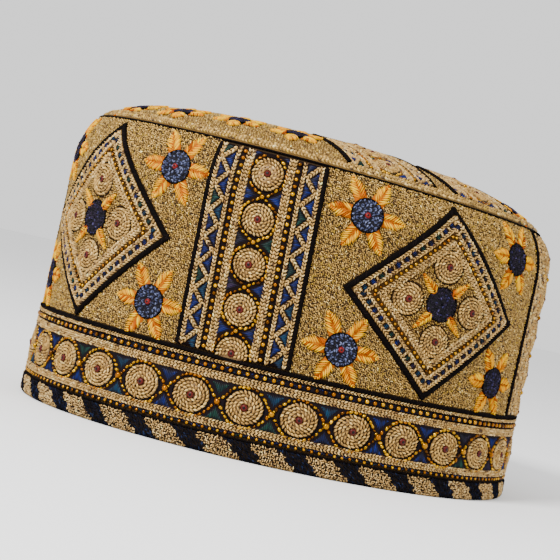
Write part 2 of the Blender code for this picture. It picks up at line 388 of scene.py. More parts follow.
metallic_thread = thread("metallic_thread", 0.4, metallic=0.4)
a, b = scattered(-PERIMETER / 2, PERIMETER / 2, FIELD_BOTTOM, FIELD_TOP, GROUND_PITCH)
across = from_middle(a, PATTERN_START + REPEAT / 2)
above = b + corner_drop(across) - DIAMOND_MIDDLE
bare = out_of_diamond(across, above) > 1
for middle in PANEL_MIDDLES:
    bare &= np.abs(from_middle(a, middle, PERIMETER)) > PANEL_HALF_WIDTH
for offset in (-FLOWER_OFFSET, FLOWER_OFFSET):
    for height in FLOWER_HEIGHTS:
        bare &= ~in_flower(from_middle(a, PATTERN_START + offset), b - height)
sew("wall_stitches", [ground(slanted, a[bare], b[bare])], "gold_ground")


# Black twisted cords lie over the joins: thin ones over the hem's upper edge and over the seam of
# wall and crown, and a thicker one over the upper edge of the border band. Each is sewn down flat.
LOW_CORD, TOP_CORD, SEAM_CORD = 0.8, 1.55, 0.8  # diameters
LOW_CORD_HEIGHT, TOP_CORD_HEIGHT = 7.1, 33.3
LOW_CORD_LIFT = 0.4
CORD_PITCH, CORD_SLANT = 0.75, 0.75  # of the twist, the first as a share of the diameter
CORE_WIDE, TWIST_HIGH = 0.94, 0.56  # shares of the cord's width and height
CORE_STEP, CORE_SIDES = 1.6, 6
CORE_BLACK = dye(8, 5, 5)
BLACK = [(0.7, 10, 6, 6), (0.2, 24, 16, 16), (0.1, 5, 3, 3)]
WAY_REACH = 0.3  # the way a line runs is read this far before and after a spot
AROUND = 721


def run_of(a, b):
    """How far along a line each of its points lies."""
    return np.concatenate([[0], np.cumsum(np.hypot(np.diff(a), np.diff(b)))])


def ways_between(run, a, b, before, after):
    """The way from one place on a line to another, for each pair of places along its run."""
    return (np.interp(after, run, line) - np.interp(before, run, line) for line in (a, b))


def along_line(a, b, pitch):
    """Evenly spaced spots on a line through these points, and the way it runs at each."""
    run = run_of(a, b)
    count = max(2, round(run[-1] / pitch))
    spot = (np.arange(count) + 0.5) / count * run[-1]
    half = min(WAY_REACH, run[-1] / count / 2)
    way_a, way_b = ways_between(run, a, b, spot - half, spot + half)
    return np.interp(spot, run, a), np.interp(spot, run, b), np.arctan2(way_b, way_a)


def rope(place, a, b, wide, high, lift, pitch, slant):
    """A twisted black thread couched down along a line, one slanted lobe for each turn of the twist."""
    a, b, way = along_line(a, b, pitch)
    count = len(a)
    turn = way + slant + rng.normal(0, 0.06, count)
    long = wide / math.sin(slant) * rng.uniform(0.94, 1.1, count)
    across = 0.92 * pitch * math.sin(slant)
    return laid(place, a, b, turn, long, across, high, lift, shades(BLACK, count, 0.16), black_thread)


def core(place, a, b, wide, high, lift):
    """The smooth core of a cord along a line, oval across, its middle this far off the face."""
    run = run_of(a, b)
    spot = np.linspace(0, run[-1], max(2, round(run[-1] / CORE_STEP)) + 1)
    before, after = np.clip(spot - WAY_REACH, 0, None), np.clip(spot + WAY_REACH, None, run[-1])
    way_a, way_b = ways_between(run, a, b, before, after)
    length = np.hypot(way_a, way_b)
    spots, ahead, up, out = place(np.interp(spot, run, a), np.interp(spot, run, b))
    across = (way_a / length)[:, None] * up - (way_b / length)[:, None] * ahead
    around = np.linspace(0, 2 * np.pi, CORE_SIDES + 1)
    reach, rise = wide / 2 * np.cos(around), lift + high / 2 * np.sin(around)
    ring = spots[:, None] + reach[None, :, None] * across[:, None] + rise[None, :, None] * out[:, None]
    return grid(ring[:, ::-1], CORE_BLACK, black_thread)


def cord(place, a, b, wide, high, lift, pitch):
    """A black twisted cord: a core, with the turns of its twist raised along its top."""
    middle = lift + high / 2
    return [
        core(place, a, b, wide * CORE_WIDE, high, middle),
        rope(place, a, b, wide, high * TWIST_HIGH, middle, pitch, CORD_SLANT),
    ]


black_thread = thread("black_cord_thread", 0.7, shine=0.03)
round_wall = np.linspace(-PERIMETER / 2, PERIMETER / 2, AROUND)
level = np.ones(AROUND)
for name, height, size, lift in (
    ("border_cord_low", LOW_CORD_HEIGHT, LOW_CORD, LOW_CORD_LIFT),
    ("border_cord_top", TOP_CORD_HEIGHT, TOP_CORD, 0.0),
    ("seam_cord", SEAM_HEIGHT, SEAM_CORD, 0.0),
):
    heap = cord(wall, round_wall, height * level, size, size, lift, CORD_PITCH * size)
    sew(f"{name}_twist", heap, "black_cord", name)


# The hem is a tape folded round the wall's lower edge and sewn through it. Slanted stripes of navy
# and black thread cross it, with gold-tan seed stitches between them; their edges are ragged.
HEM_LINE = np.array([
    (1.3, 6.6), (1.3, 1.9), (1.12, 1.1), (0.65, 0.6), (0.0, 0.45),
    (-2.0, 0.45), (-2.65, 0.6), (-3.12, 1.1), (-3.3, 1.9), (-3.3, 5.9),
])  # lift off the wall's face and height, down the outside, round the fold and up inside
HEM_BACK = [(-2.4, 5.9), (-2.4, 1.3), (0.3, 1.3), (0.3, 6.6), (1.3, 6.6)]
HEM_INSIDE = 9.7  # how far down the tape its inner leaf starts
HEM_EDGES = (0.2, 0.3)  # left free of stitches at the tape's outer and inner edges
ROUNDELS = 29
ROUNDEL_START = -10.25 + SLANT * (SEAM_HEIGHT - 17.7)
ROUNDEL_SPACING = PERIMETER / ROUNDELS
STRIPE_HALF, STRIPE_SLANT = 4.2, 1.05
RAG, RAG_PITCH = 0.8, 1.7
HEM_PITCH, INSIDE_PITCH = 0.78, 1.3
STRIPE_TURN, STRIPE_SPREAD = -0.75, 0.3
STRIPE_LONG, SEED_LONG, HEM_WIDE, HEM_HIGH = (1.4, 2.1), (1.0, 1.7), (0.46, 0.64), (0.35, 0.6)
SINK = 0.05  # of a stitch's foot in the cloth
HEM_BROWN = dye(26, 18, 12)
NAVY = [
    (0.42, 9, 8, 14), (0.3, 10, 13, 28), (0.2, 5, 4, 6), (0.08, 24, 34, 60),
]
HEM_GOLD = [
    (0.46, 184, 148, 90), (0.26, 154, 120, 66), (0.2, 208, 176, 118), (0.08, 92, 64, 30),
]

hem_run = run_of(*HEM_LINE.T)


def hem(along, down):
    """Spots of the tape's face this far round and this far down it, under the fold and up inside."""
    down = np.clip(down, 0, hem_run[-1])
    lift, height = (np.interp(down, hem_run, HEM_LINE[:, axis]) for axis in (0, 1))
    fore, back = np.clip(down + 0.2, 0, hem_run[-1]), np.clip(down - 0.2, 0, hem_run[-1])
    across, rise = ways_between(hem_run, *HEM_LINE.T, fore, back)
    spots, ahead, _, out = wall(along, height)
    up = unit(across[..., None] * out + rise[..., None] * UPRIGHT)
    return spots + lift[..., None] * out, ahead, up, np.cross(ahead, up)


navy_thread = thread("navy_thread", 0.7, shine=0.05)
heap = [swept([tuple(spot) for spot in HEM_LINE] + HEM_BACK, HEM_BROWN, navy_thread)]
for low, high, pitch in (
    (HEM_EDGES[0], HEM_INSIDE, HEM_PITCH),
    (HEM_INSIDE, hem_run[-1] - HEM_EDGES[1], INSIDE_PITCH),
):
    a, b = scattered(-PERIMETER / 2, PERIMETER / 2, low, high, pitch)
    rag = RAG * (np.abs((b / RAG_PITCH) % 2 - 1) * 2 - 1)
    dark = np.abs(from_middle(a, ROUNDEL_START + STRIPE_SLANT * b, ROUNDEL_SPACING)) < STRIPE_HALF + rag
    count, scale = len(a), pitch / HEM_PITCH
    turn = np.where(dark, rng.normal(STRIPE_TURN, STRIPE_SPREAD, count), rng.uniform(0, np.pi, count))
    long = np.where(dark, rng.uniform(*STRIPE_LONG, count), rng.uniform(*SEED_LONG, count)) * scale
    wide, rise = rng.uniform(*HEM_WIDE, count) * scale, rng.uniform(*HEM_HIGH, count)
    for kept, dyes, look in ((dark, NAVY, navy_thread), (~dark, HEM_GOLD, metallic_thread)):
        heap.append(laid(hem, a[kept], b[kept], turn[kept], long[kept], wide[kept], rise[kept], -SINK,
                         shades(dyes, kept.sum()), look))
sew("hem_tape", heap, "striped_tape", "hem_binding")


# The border band is a strip of dark cloth laid round the wall between two black cords. Gold beads
# are strung along its edges, over stitches of blue and green silk, with tan braids and fine black
# threads couched down beside them.
BAND_BOTTOM, BAND_TOP, BAND_LIFT = 8.3, 32.1, 0.75
BAND_FOLD = 0.3  # height of the strip's rounded edges
BAND_BRAIDS = ((31.9, 1.1), (27.95, 1.5), (26.5, 1.5), (11.3, 1.3), (10.1, 1.4))  # heights and widths
BAND_LINES = (31.15, 28.95)
BAND_BEADS = ((30.05, 3.1, 1.8, 0.25), (8.55, 2.8, 1.35, 0.2))  # height, pitch, diameter and lift
BAND_SILK = ((30.05, 0.9), (8.7, 0.4))  # middle height and half width
SILK_PITCH, SILK_STITCH = 0.9, (1.2, 0.5, 0.4)
COUCHED = 0.1  # depth of couched threads in the cloth
BRAID_PITCH, BRAID_TURN = 1.3, 0.5
BRAID_LONG, BRAID_HIGH = (1.9, 2.3), (0.6, 1.0)
BRAID_SIDE, BRAID_WIDE = 0.24, 0.56  # shares of a braid's width
FINE_THREAD = {"wide": 0.55, "high": 0.6, "pitch": 0.75, "slant": 0.5}
BAND_BLACK = dye(22, 16, 20)
TAN = [
    (0.5, 180, 144, 82), (0.28, 154, 118, 60), (0.17, 206, 174, 114), (0.05, 84, 56, 24),
]
GOLD = [(0.5, 154, 104, 0), (0.24, 130, 76, 0), (0.16, 178, 130, 4), (0.1, 80, 45, 2)]
BLUES = (
    [(0.6, 5, 17, 70), (0.4, 4, 10, 42)],
    [(0.6, 9, 17, 62), (0.4, 7, 10, 38)],
    [(0.6, 4, 34, 54), (0.4, 3, 21, 40)],
    [(0.6, 7, 38, 31), (0.4, 4, 24, 24)],
    [(0.6, 26, 15, 38), (0.4, 13, 9, 22)],
)
BLUE_SHARES = (0.34, 0.22, 0.22, 0.12, 0.10)


def braid(place, a, b, wide, lift, dyes=TAN):
    """Thread couched down as a flat braid, whose lobes lean in from both sides like rows of Vs."""
    a, b, way = along_line(a, b, BRAID_PITCH)
    entries = []
    for side in (-1, 1):
        off = side * wide * BRAID_SIDE
        a_side, b_side = a - off * np.sin(way), b + off * np.cos(way)
        turn = way + side * BRAID_TURN + rng.normal(0, 0.16, len(a))
        long, high = rng.uniform(*BRAID_LONG, len(a)), rng.uniform(*BRAID_HIGH, len(a))
        entries.append(laid(place, a_side, b_side, turn, long, wide * BRAID_WIDE, high, lift,
                            shades(dyes, len(a)), tan_thread))
    return entries


def dome(sides, tilts):
    """A round bead or knot with a radius of a half, as rings at these tilts from its top."""
    turn = 2 * np.pi * np.arange(sides) / sides
    points = [(0, 0, 1)]
    for tilt in np.radians(tilts):
        points += [(0.5 * math.sin(tilt) * math.cos(t), 0.5 * math.sin(tilt) * math.sin(t), math.cos(tilt))
                   for t in turn]
    faces = [(0, 1 + i, 1 + (i + 1) % sides) for i in range(sides)]
    for ring in range(len(tilts) - 1):
        first, second = 1 + ring * sides, 1 + (ring + 1) * sides
        for i in range(sides):
            j = (i + 1) % sides
            faces += [(first + i, second + i, second + j), (first + i, second + j, first + j)]
    return np.array(points), np.array(faces)


def beads(place, a, b, size, lift):
    """Round gold beads at these spots."""
    count = len(a)
    sizes = size * rng.uniform(0.93, 1.07, count)
    return laid(place, a, b, 0, sizes, sizes, sizes / 2, lift, shades(GOLD, count, 0.1), gold_bead, BEAD)


def string_of_beads(place, a, b, pitch, size, lift):
    a, b, _ = along_line(a, b, pitch)
    jitter = rng.normal(0, 0.06, (2, len(a)))
    return beads(place, a + jitter[0], b + jitter[1], size, lift)


def silk_shades(patches, threads, spread):
    """Colours for patches of silk, each with this many threads from one family of dyes."""
    family = rng.choice(len(BLUES), patches, p=BLUE_SHARES)
    return np.concatenate([shades(BLUES[pick], threads, spread) for pick in family])


tan_thread = thread("tan_couched_thread", 0.45, metallic=0.2)
silk = thread("blue_silk", 0.5, shine=0.12)
gold_bead = thread("gold_bead", 0.25, metallic=0.85, fuzz=0.15)
BEAD = dome(7, (38, 76, 118))
section = [
    (0.0, BAND_BOTTOM), (BAND_LIFT - 0.2, BAND_BOTTOM), (BAND_LIFT, BAND_BOTTOM + BAND_FOLD),
    *[(BAND_LIFT, height) for height in np.linspace(BAND_BOTTOM + 1.5, BAND_TOP - 1.5, 8)],
    (BAND_LIFT, BAND_TOP - BAND_FOLD), (BAND_LIFT - 0.2, BAND_TOP), (0.0, BAND_TOP),
]
heap = [swept(section, BAND_BLACK, black_thread)]
for height, wide in BAND_BRAIDS:
    heap += braid(wall, round_wall, height * level, wide, BAND_LIFT - COUCHED)
for height in BAND_LINES:
    heap.append(rope(wall, round_wall, height * level, lift=BAND_LIFT - COUCHED, **FINE_THREAD))
for height, pitch, size, lift in BAND_BEADS:
    heap.append(string_of_beads(wall, round_wall, height * level, pitch, size, BAND_LIFT + lift))
for height, half in BAND_SILK:
    a = np.arange(-PERIMETER / 2, PERIMETER / 2, SILK_PITCH)
    dyes = silk_shades(len(a), 1, 0.25)
    b = height + rng.uniform(-half, half, len(a))
    heap.append(laid(wall, a, b, rng.normal(0, 0.4, len(a)), *SILK_STITCH, BAND_LIFT - SINK, dyes, silk))
sew("band_rows", heap, "border_thread", "border_band")


# A row of coiled tan discs, each with a red bead, fills the middle of the border band. Two gold
# strands loop round every disc and cross between them at a gold bead, with triangles of blue and
# green silk above and below the crossings.
ROUNDEL_HEIGHT, COIL_RADIUS, COIL_PITCH = 18.4, 5.7, 1.15
ROUNDEL_STRETCH = 1.12  # roundels are a little wider than high
SWELL = 0.45  # rise of a coiled disc's middle
COIL_OUTLINE = (0.8, 0.0, 0.9, 0.5, 0.4)  # pitch, lean, length, width and height of its stitches
COIL_LOBE = (1.3, -0.6, 2.2, 1.2, 0.85)
# dark knots between a disc's rings: painted shade in the pits of the coil
COIL_PIT_SHADE = (1.6, 0.0, 0.85, 0.5, 0.76)
COIL_BEAD, COIL_BEAD_HIGH = 2.9, 0.75
# a dark disc on top of each red bead: painted shade in its hole
BEAD_HOLE, BEAD_HOLE_HIGH = 1.2, 0.15
COIL_TAN = [(0.55, 174, 136, 70), (0.33, 146, 109, 50), (0.12, 196, 162, 96)]
COIL_BASE, PIT_SHADE_BROWN = [(1, 92, 66, 32)], [(1, 36, 22, 9)]
RED_BEAD, RED_BEAD_HOLE_SHADE = [(1, 72, 11, 5)], [(1, 14, 4, 3)]
STRAND_RADIUS, STRAND_LEAVES = 7.1, math.radians(34)
ARC = np.linspace(STRAND_LEAVES, np.pi - STRAND_LEAVES, 24)  # of a strand round a disc
STRAND_PITCH, STRAND_BEAD, STRAND_HIGH = 1.75, (2.1, 1.35), 0.85
STRAND_GOLD = [
    (0.36, 150, 108, 2), (0.3, 122, 72, 4), (0.2, 174, 130, 10), (0.14, 74, 42, 4),
]
CROSSING_BEAD, BEAD_LIFT = 2.7, 0.4
WEDGE_THREADS, WEDGE_HIGH = 9, 0.45
BAND_WEDGE = (4.6, 3.1)  # depth and half width
BAND_WEDGE_TIP = 1.8  # above and below a crossing


def rotated(a, b, turn):
    """Spots of a plane turned about its middle."""
    cos, sin = np.cos(turn), np.sin(turn)
    return a * cos - b * sin, a * sin + b * cos


def strand(place, a, b, lift):
    """A gold strand of small oval beads."""
    a, b, way = along_line(a, b, STRAND_PITCH)
    size = rng.uniform(0.75, 1.1, len(a))
    a, b = a + rng.normal(0, 0.14, len(a)), b + rng.normal(0, 0.14, len(a))
    turn = way + rng.normal(0.25, 0.3, len(a))
    long, wide = (share * size for share in STRAND_BEAD)
    return laid(place, a, b, turn, long, wide, STRAND_HIGH, lift - COUCHED,
                shades(STRAND_GOLD, len(a), 0.2), gold_bead, KNOT)


def looped(middles, spacing, radius, arc, sides, stretch=1.0):
    """The lines of two strands that loop round every disc of a row and cross between them: how far
    along the row and how far off it they run."""
    leave, out = stretch * radius * math.cos(STRAND_LEAVES), radius * math.sin(STRAND_LEAVES)
    for middle in middles:
        for side in sides:
            yield middle + stretch * radius * np.cos(arc), side * radius * np.sin(arc)
            yield middle + np.array([leave, spacing - leave]), side * np.array([out, -out])


def coils(place, middles_a, middles_b, radius=COIL_RADIUS, lift=BAND_LIFT, stretch=1.0):
    """Discs of braided tan thread coiled round a red bead, a little domed, with a thin dark outline and
    dark knots between the rings as painted shade in the pits.
    """
    entries = []
    rows = [(radius + 0.65, COIL_OUTLINE, BLACK, black_thread, THREAD)]
    for reach in np.arange(radius - 0.3, 1.6, -COIL_PITCH):
        rows.append((reach, COIL_LOBE, COIL_TAN, tan_thread, THREAD))
        # dark knots as painted shade in the pit between this ring and the next
        rows.append((reach - COIL_PITCH / 2, COIL_PIT_SHADE, PIT_SHADE_BROWN, black_thread, KNOT))
    for reach, (pitch, lean, long, wide, high), dyes, look, shape in rows:
        count = max(3, round(2 * np.pi * reach / pitch))
        turn = 2 * np.pi * (np.arange(count) + rng.random((len(middles_a), 1))) / count
        a = (middles_a[:, None] + reach * stretch * np.cos(turn)).ravel()
        b = (middles_b[:, None] + reach * np.sin(turn)).ravel()
        way = turn.ravel() + np.pi / 2 + lean + rng.normal(0, 0.3, a.size)
        rise = lift + max(SWELL * (1 - (reach / radius) ** 2), 0)
        long = long * stretch * rng.uniform(0.9, 1.1, a.size)
        entries.append(laid(place, a, b, way, long, wide, high, rise,
                            shades(dyes, a.size, 0.16), look, shape))
    for long, wide, high, above, dyes, look, shape in (
        (2 * radius * stretch, 2 * radius, SWELL, 0.15, COIL_BASE, tan_thread, BEAD),
        (COIL_BEAD, COIL_BEAD, COIL_BEAD_HIGH, SWELL + 0.3, RED_BEAD, glass_bead, BEAD),
        # painted shade in the red bead's hole
        (BEAD_HOLE, BEAD_HOLE, BEAD_HOLE_HIGH, SWELL + 1.0, RED_BEAD_HOLE_SHADE, glass_bead, KNOT),
    ):
        entries.append(laid(place, middles_a, middles_b, 0, long, wide, high, lift + above,
                            shades(dyes, len(middles_a), 0.1), look, shape))
    return entries


def wedges(place, tip_a, tip_b, way, depth, half, lift):
    """Triangles filled with blue and green silk: each widens from its tip, the threads side by side."""
    way = np.broadcast_to(way, tip_a.shape)[:, None]
    offset = np.linspace(-0.86, 0.86, WEDGE_THREADS) * half
    start = np.abs(offset) / half * depth
    long = depth - start + 0.25
    out_a, out_b = rotated(start + long / 2, offset, way)
    a, b = tip_a[:, None] + out_a, tip_b[:, None] + out_b
    dyes = silk_shades(len(tip_a), WEDGE_THREADS, 0.22)
    turn, long = np.broadcast_to(way, a.shape), np.broadcast_to(long, a.shape)
    return laid(place, a.ravel(), b.ravel(), turn.ravel(), long.ravel(), 3.4 * half / WEDGE_THREADS,
                WEDGE_HIGH, lift, dyes, silk)


glass_bead = thread("red_bead", 0.4, fuzz=0.1, shine=0.15)
KNOT = dome(6, (50, 90))
middles = ROUNDEL_START + ROUNDEL_SPACING * np.arange(ROUNDELS)
rows = np.full(ROUNDELS, ROUNDEL_HEIGHT)
heap = coils(wall, middles, rows, stretch=ROUNDEL_STRETCH)
for along, off in looped(middles, ROUNDEL_SPACING, STRAND_RADIUS, ARC, (1, -1), ROUNDEL_STRETCH):
    heap.append(strand(wall, along, ROUNDEL_HEIGHT + off, BAND_LIFT))
between = middles + ROUNDEL_SPACING / 2
heap.append(beads(wall, between, rows, CROSSING_BEAD, BAND_LIFT + BEAD_LIFT))
for side in (1, -1):
    tips = rows + side * BAND_WEDGE_TIP
    heap.append(wedges(wall, between, tips, side * np.pi / 2, *BAND_WEDGE, BAND_LIFT - SINK))
sew("band_roundels", heap, "border_thread")


# Four upright panels are sewn up the wall. Each has a column of coiled discs down its middle, gold
# strands looped round them, and on both sides tan braids, a string of gold beads, a zigzag of tan
# braid over blue and green silk, and a broad flat black cord.
PANEL_BOTTOM, PANEL_TOP, PANEL_CLOTH = 34.5, 106.7, 20.6  # the last is half its cloth's width
PAD_LIFT, PAD_CELLS = 0.55, 22
PANEL_BRAIDS, PANEL_BRAID_WIDE = (7.3, 8.7, 12.6, 19.0), 1.55
PANEL_BEADS, PANEL_LINE, PANEL_TEETH, PANEL_CORD = 10.4, 11.75, 16.0, 20.4  # across from its middle
BEAD_PITCH, BEAD_SIZE = 2.7, 1.8
BROAD_CORD = {"wide": 2.2, "high": 1.1, "lift": 0.0, "pitch": 1.2}
ZIGZAG, TOOTH, ZIGZAG_WIDE, ZIGZAG_TIP = (13.9, 18.1), 4.65, 1.45, 1.1
ZIGZAG_WEDGE = (3.3, 2.9)
PANEL_COILS, PANEL_COIL = (99.2, 83.2, 67.2, 51.2, 35.7), 5.5
PANEL_STRAND, PANEL_BEAD = 6.75, 1.9
PANEL_WEDGE, PANEL_WEDGE_TIP = (4.9, 2.7), 2.0
PANEL_BLACK = dye(20, 12, 12)


def trimmed(heap, inside):
    """The same heap without the small things whose middles are out of bounds."""
    kept = []
    for points, faces, flat, dyes, look in heap:
        if len(points) > 1:
            seen = inside(points.mean(axis=1))
            points, dyes = points[seen], dyes[seen]
        if len(points):
            kept.append((points, faces, flat, dyes, look))
    return kept


def pad(place, low_a, high_a, low_b, high_b, lift, colour):
    """A thin raised sheet of cloth with its edges turned down to the face."""
    a, b = (
        np.concatenate([[low], np.linspace(low, high, PAD_CELLS), [high]])
        for low, high in ((low_a, high_a), (low_b, high_b))
    )
    rise = np.full(PAD_CELLS + 2, lift)
    rise[[0, -1]] = -0.1
    spots, _, _, out = place(a[None], b[:, None])
    return grid(spots + np.minimum(rise[None], rise[:, None])[..., None] * out, colour, black_thread)


def upright_panel(place, ends, middles, lift=PAD_LIFT):
    """The rows of one panel, where ends(across) gives how far each row runs."""
    def row(across, entry, **how):
        low, high = ends(across)
        b = np.linspace(low, high, max(3, round(high - low)))
        return entry(place, np.full(len(b), float(across)), b, **how)

    middles = np.array(middles)
    entries = []
    for side in (-1, 1):
        for across in PANEL_BRAIDS:
            entries += row(side * across, braid, wide=PANEL_BRAID_WIDE, lift=lift)
        entries.append(row(side * PANEL_LINE, rope, lift=lift, **FINE_THREAD))
        entries += row(side * PANEL_CORD, cord, **BROAD_CORD)
        entries.append(row(side * PANEL_BEADS, string_of_beads, pitch=BEAD_PITCH, size=BEAD_SIZE,
                           lift=lift - SINK))
        low, high = ends(side * PANEL_TEETH)
        teeth = np.arange(high - 0.8, low, -TOOTH)
        inward = np.arange(len(teeth)) % 2 == (side > 0)
        entries += braid(place, side * np.where(inward, *ZIGZAG), teeth, ZIGZAG_WIDE, lift + SINK)
        tips = side * np.where(inward, ZIGZAG[0] + ZIGZAG_TIP, ZIGZAG[1] - ZIGZAG_TIP)
        ways = np.where(inward == (side > 0), 0.0, np.pi)
        entries.append(wedges(place, tips, teeth, ways, *ZIGZAG_WEDGE, lift - SINK))
    entries += coils(place, 0 * middles, middles, PANEL_COIL, lift)
    spacing = abs(middles[0] - middles[1])
    for along, off in looped(middles, spacing, PANEL_STRAND, ARC[::-1], (-1, 1)):
        entries.append(strand(place, off, along, lift))
    gaps = middles + spacing / 2
    entries.append(beads(place, 0 * gaps, gaps, PANEL_BEAD, lift + BEAD_LIFT))
    for side, way in ((1, 0.0), (-1, np.pi)):
        tips = np.full(len(gaps), PANEL_WEDGE_TIP * side)
        entries.append(wedges(place, tips, gaps, way, *PANEL_WEDGE, lift - SINK))
    return entries


def on_panel_height(spots):
    height = spots[:, 2] / (1 - LEAN * spots[:, 0] / HALF_LENGTH)
    return (height > PANEL_BOTTOM) & (height < PANEL_TOP)


for index, middle in enumerate(PANEL_MIDDLES):
    on_panel = face_at(middle)
    heap = [pad(on_panel, -PANEL_CLOTH, PANEL_CLOTH, PANEL_BOTTOM, PANEL_TOP, PAD_LIFT, PANEL_BLACK)]
    heap += upright_panel(on_panel, lambda across: (PANEL_BOTTOM + 0.2, PANEL_TOP), PANEL_COILS)
    sew(f"panel_{index + 1}_embroidery", trimmed(heap, on_panel_height), "tan_thread", f"panel_{index + 1}")


# Between the panels stand four large diamonds, edged with a broad black cord. Inside it run a band of
# blue and green silk squares, tan braids and small gold beads; the field in the middle carries four
# coiled discs, a dark knotted disc and four slim yellow petals.
DIAMOND_REACH = DIAMOND_HALF_WIDTH * DIAMOND_HALF_HEIGHT / math.hypot(DIAMOND_HALF_WIDTH, DIAMOND_HALF_HEIGHT)
DIAMOND_BRAIDS, DIAMOND_BRAID_WIDE = (2.9, 5.95, 9.2, 10.4), 1.35
DIAMOND_CORD, DIAMOND_SQUARES, DIAMOND_BEADS, DIAMOND_FIELD = 1.1, 4.4, 7.6, 11.0  # in from the edge
SMALL_BEADS = (2.2, 1.35)  # pitch and diameter
SQUARE, SQUARE_PITCH, SQUARE_THREADS = 2.6, 3.5, 4
DIAMOND_PITCH = 0.8
DIAMOND_COILS, SMALL_COIL = 13.9, 5.6
DIAMOND_PETALS, DIAMOND_PETAL_HALVES = (5.4, 14.1), (1.9, 1.7, 0.95, 0.1)
DIAMOND_DISC = 6.3
PETAL_ROWS, PETAL_DOTS = 9, 8
PETAL_STITCH, PETAL_TURN, PETAL_LIFT = (1.0, 0.85), 0.78, 0.25  # width and height, turn and lift
PETAL_SIDES, PETAL_RISES = (-1, -0.8, -0.4, 0, 0.4, 0.8, 1), (0, 0.35, 0.5, 0.55, 0.5, 0.35, 0)
DISC_CORD, DISC_RISE = (0.6, 0.8), 0.6
YARN_ROW, YARN_PITCH, YARN_WIDE, YARN_LONG, YARN_HIGH = 1.5, 1.7, 0.82, (1.3, 1.8), (0.45, 0.75)
DIAMOND_BROWN, LEAF_ORANGE, DISC_BLACK = dye(58, 38, 16), dye(156, 78, 0), dye(15, 13, 20)
PETAL_YELLOW = [
    (0.46, 206, 143, 0), (0.2, 186, 110, 0), (0.27, 224, 168, 0), (0.07, 142, 64, 0),
]
PETAL_ORANGE = [(0.6, 176, 84, 0), (0.4, 146, 58, 0)]
RED_DOT = [(1, 100, 10, 7)]
DARK_PURPLE = [
    (0.46, 25, 17, 33), (0.34, 13, 9, 18), (0.14, 34, 30, 64), (0.06, 56, 50, 84),
]


def petals(place, ways, start, tip, halves, lift=0.0):
    """Leaf-shaped petals of slanting satin stitch over a thin raised leaf, with an orange midrib."""
    entries = []
    shares = np.linspace(0, 1, 9)
    sides = 0.9 * np.array(PETAL_SIDES)
    rises = np.array(PETAL_RISES) + lift
    for way in ways:
        reach = (start + (tip - start) * shares)[:, None]
        off = np.interp(shares, PETAL_SHARES, halves)[:, None] * sides
        spots, _, _, out = place(*rotated(reach, off, way))
        entries.append(grid((spots + rises[:, None] * out)[:, ::-1], LEAF_ORANGE, petal_silk))
        share = np.repeat(np.linspace(0.0, 0.93, PETAL_ROWS), 2) + rng.uniform(-0.02, 0.02, 2 * PETAL_ROWS)
        share = np.clip(share, 0, 1)
        side = np.tile([-1, 1], PETAL_ROWS)
        half = np.interp(share, PETAL_SHARES, halves)
        reach = start + (tip - start) * share + 0.5 * half
        a, b = rotated(reach, side * half * 0.5, way)
        turn = way + side * PETAL_TURN + rng.normal(0, 0.08, len(share))
        long = 1.42 * half * rng.uniform(0.9, 1.25, len(share)) + 0.5
        entries.append(laid(place, a, b, turn, long, *PETAL_STITCH, PETAL_LIFT + lift,
                            shades(PETAL_YELLOW, len(share), 0.12), petal_silk))
        share = rng.uniform(0.03, 0.8, PETAL_DOTS)
        off = rng.normal(0, 0.25, PETAL_DOTS) * np.interp(share, PETAL_SHARES, halves)
        a, b = rotated(start + (tip - start) * share, off, way)
        turn = way + rng.normal(0, 0.6, PETAL_DOTS)
        entries.append(laid(place, a, b, turn, 1.0, 0.35, 0.35, 0.6 + lift,
                            shades(PETAL_ORANGE, PETAL_DOTS, 0.2), petal_silk))
    return entries


def knotted_disc(place, radius, dyes, dot, lift=0.1):
    """A domed disc of close knots of yarn with a thin black rim, and a red bead in its middle or none."""
    def rise(reach):
        return lift + DISC_RISE * (1 - 0.6 * (reach / radius) ** 2)

    around = np.linspace(0, 2 * np.pi, 60)
    entries = cord(place, radius * np.cos(around), radius * np.sin(around), *DISC_CORD, lift, 0.8)
    reaches = np.linspace(0, radius, 6)[:, None]
    spots, _, _, out = place(reaches * np.cos(around), reaches * np.sin(around))
    entries.append(grid(spots + rise(reaches)[..., None] * out, DISC_BLACK, yarn))
    for reach in np.arange(radius - 0.7, 0.3, -YARN_ROW):
        count = max(3, round(2 * np.pi * reach / YARN_PITCH))
        turn = 2 * np.pi * (np.arange(count) + rng.random()) / count
        a = reach * np.cos(turn) + rng.normal(0, 0.1, count)
        b = reach * np.sin(turn) + rng.normal(0, 0.1, count)
        for coil in range(3):
            way = 2.1 * coil + rng.uniform(0, np.pi, count)
            off_a, off_b = 0.4 * np.cos(way), 0.4 * np.sin(way)
            long, high = rng.uniform(*YARN_LONG, count), rng.uniform(*YARN_HIGH, count)
            entries.append(laid(place, a + off_a, b + off_b, way + np.pi / 2, long, YARN_WIDE, high,
                                rise(reach), shades(dyes, count, 0.25), yarn))
    if dot:
        middle = np.zeros(1)
        for size, high, above, colour, shape in (
            (2.5, 0.8, 0.8, RED_DOT, BEAD),
            # the small dark one is painted shade in the bead's hole
            (0.9, 0.15, 1.55, RED_BEAD_HOLE_SHADE, KNOT),
        ):
            entries.append(laid(place, middle, middle, 0, size, size, high, lift + above,
                                shades(colour, 1, 0), glass_bead, shape))
    return entries


